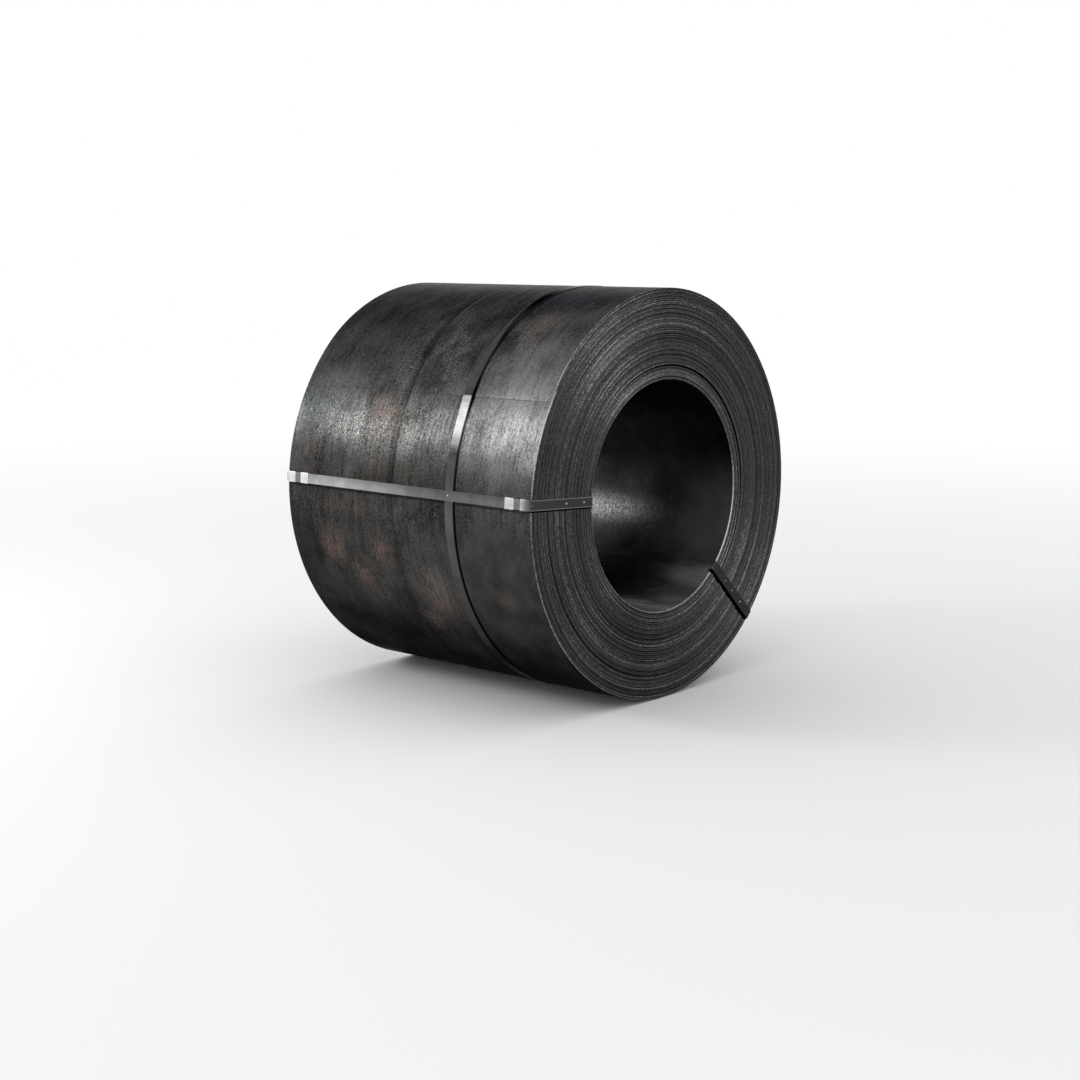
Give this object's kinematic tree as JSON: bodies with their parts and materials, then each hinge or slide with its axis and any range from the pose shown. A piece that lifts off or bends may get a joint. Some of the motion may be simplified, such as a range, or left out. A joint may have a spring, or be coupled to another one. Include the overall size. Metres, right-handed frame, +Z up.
{
  "type": "steel coil",
  "caption": "Coil of hot-rolled steel strip lying on its side, with an open bore and stepped wound ends, tied by a strap round the outside and straps through the bore with crimped seals.",
  "frame": {"origin": "on the floor under the middle of the lying coil", "axes": "+Z up, +Y along the bore towards the far end, +X to the right as seen from the near end"},
  "size_m": [0.8991, 0.7318, 0.9007],
  "materials": {
    "mill_scale_steel": "matte",
    "strap_steel": "satin",
    "seal_steel": "satin"
  },
  "bodies": {
    "root": {"coil": "mill_scale_steel", "belly_strap": "strap_steel", "belly_strap_seal": "seal_steel", "side_eye_strap": "strap_steel", "side_eye_strap_near_seal": "seal_steel", "side_eye_strap_far_seal": "seal_steel", "lower_eye_strap": "strap_steel", "lower_eye_strap_near_seal": "seal_steel", "lower_eye_strap_far_seal": "seal_steel"}
  },
  "joints": []
}
